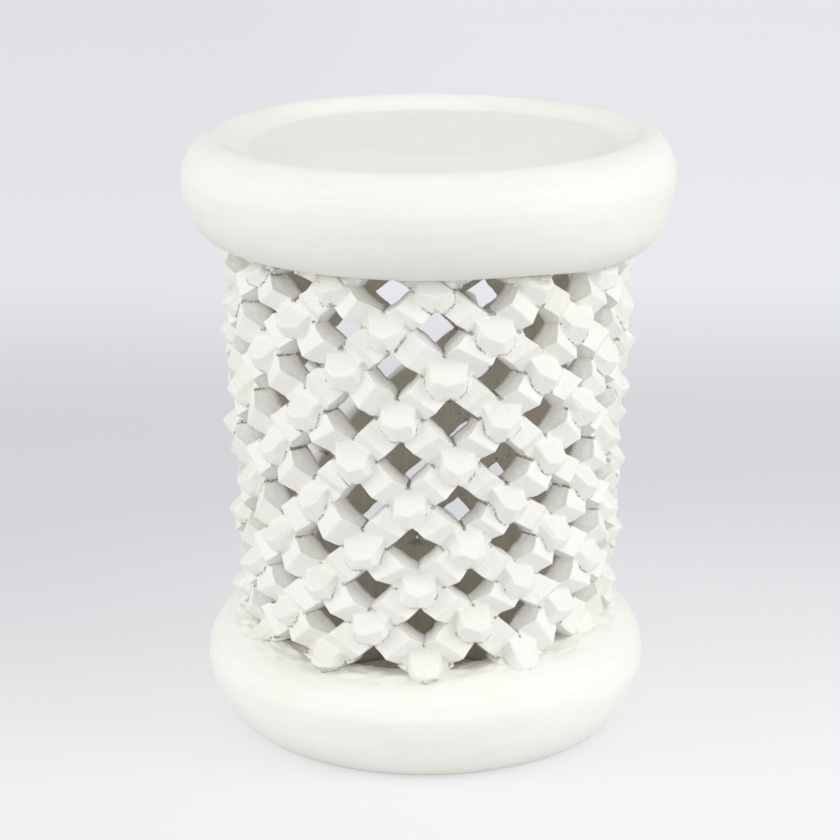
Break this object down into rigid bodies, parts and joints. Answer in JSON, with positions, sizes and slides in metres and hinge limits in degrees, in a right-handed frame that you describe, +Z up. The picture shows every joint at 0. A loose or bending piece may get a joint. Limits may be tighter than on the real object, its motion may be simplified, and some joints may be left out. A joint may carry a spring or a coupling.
{
  "type": "openwork drum stool",
  "caption": "Round carved stool: a dished cushion-like seat on an openwork drum of crossing slanted strands with bosses, standing on a rounded foot ring.",
  "frame": {"origin": "centre of the foot ring's underside, on the floor", "axes": "+Z up along the drum's axis; -Y is the side that faces the camera of the picture, +X its right"},
  "size_m": [0.36, 0.36, 0.45],
  "materials": {
    "seat": "matte warm-white paint on turned and carved wood, faint brush marks",
    "foot_ring": "matte warm-white paint on carved wood, faint brush marks",
    "right_strand": "matte warm-white paint on chisel-cut wood, bare brown wood inside the drum",
    "left_strand": "matte warm-white paint on chisel-cut wood, bare brown wood inside the drum"
  },
  "bodies": {
    "root": {"seat": "seat", "foot_ring": "foot_ring", "right_strand_01": "right_strand", "left_strand_01": "left_strand", "right_strand_02": "right_strand", "left_strand_02": "left_strand", "right_strand_03": "right_strand", "left_strand_03": "left_strand", "right_strand_04": "right_strand", "left_strand_04": "left_strand", "right_strand_05": "right_strand", "left_strand_05": "left_strand", "right_strand_06": "right_strand", "left_strand_06": "left_strand", "right_strand_07": "right_strand", "left_strand_07": "left_strand", "right_strand_08": "right_strand", "left_strand_08": "left_strand", "right_strand_09": "right_strand", "left_strand_09": "left_strand", "right_strand_10": "right_strand", "left_strand_10": "left_strand", "right_strand_11": "right_strand", "left_strand_11": "left_strand", "right_strand_12": "right_strand", "left_strand_12": "left_strand"}
  },
  "joints": []
}
